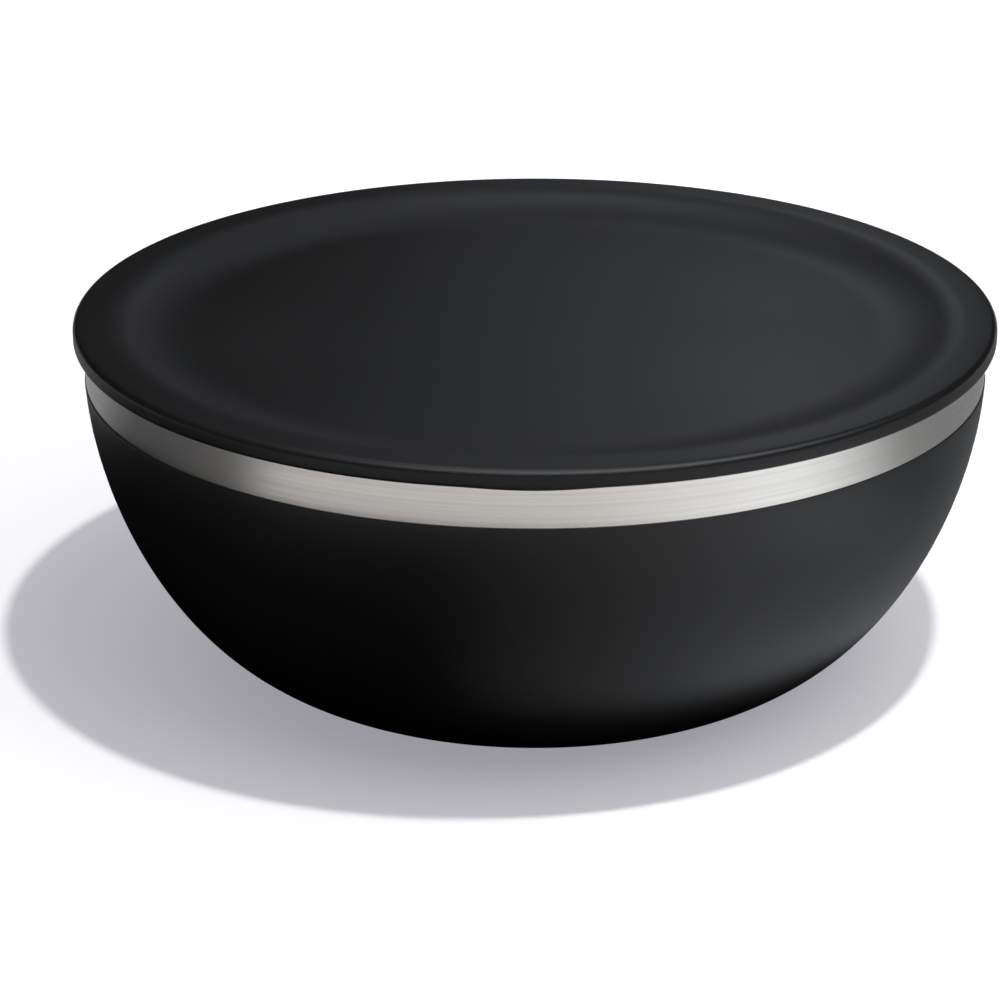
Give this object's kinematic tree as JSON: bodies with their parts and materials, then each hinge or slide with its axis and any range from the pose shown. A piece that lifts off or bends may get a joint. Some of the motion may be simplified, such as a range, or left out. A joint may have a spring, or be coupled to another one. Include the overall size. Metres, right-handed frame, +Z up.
{
  "type": "camping bowl",
  "caption": "Round double-walled steel bowl with a black coat, a bare steel band at the rim and a dished press-in lid, for carrying and serving hot or cold food.",
  "frame": {"origin": "middle of the standing ring, on the table", "axes": "+Z up along the bowl's axis, -Y to the finger lip at the front of the lid"},
  "size_m": [0.258, 0.258, 0.1021],
  "materials": {
    "brushed_steel": "stainless steel, brushed round the rim",
    "inner_steel": "stainless steel, fine satin",
    "base_steel": "stainless steel, plain pressed sheet",
    "black_coat": "matt black powder coat",
    "lid_plastic": "satin moulded polypropylene, black",
    "gasket_silicone": "matt silicone, dark grey",
    "solder_glass": "fused solder glass",
    "getter_alloy": "porous sintered powder"
  },
  "bodies": {
    "bowl": {"outer_shell": "brushed_steel", "powder_coat": "black_coat", "inner_shell": "inner_steel", "base_disc": "base_steel", "evacuation_seal": "solder_glass", "getter_pellet": "getter_alloy", "getter_strap": "inner_steel"},
    "lid": {"lid_cover": "lid_plastic", "lid_gasket": "gasket_silicone"}
  },
  "joints": [
    {"name": "lid_lift", "type": "slide", "parent": "bowl", "child": "lid", "axis": [0, 0, 1], "range_m": [0, 0.15]}
  ]
}
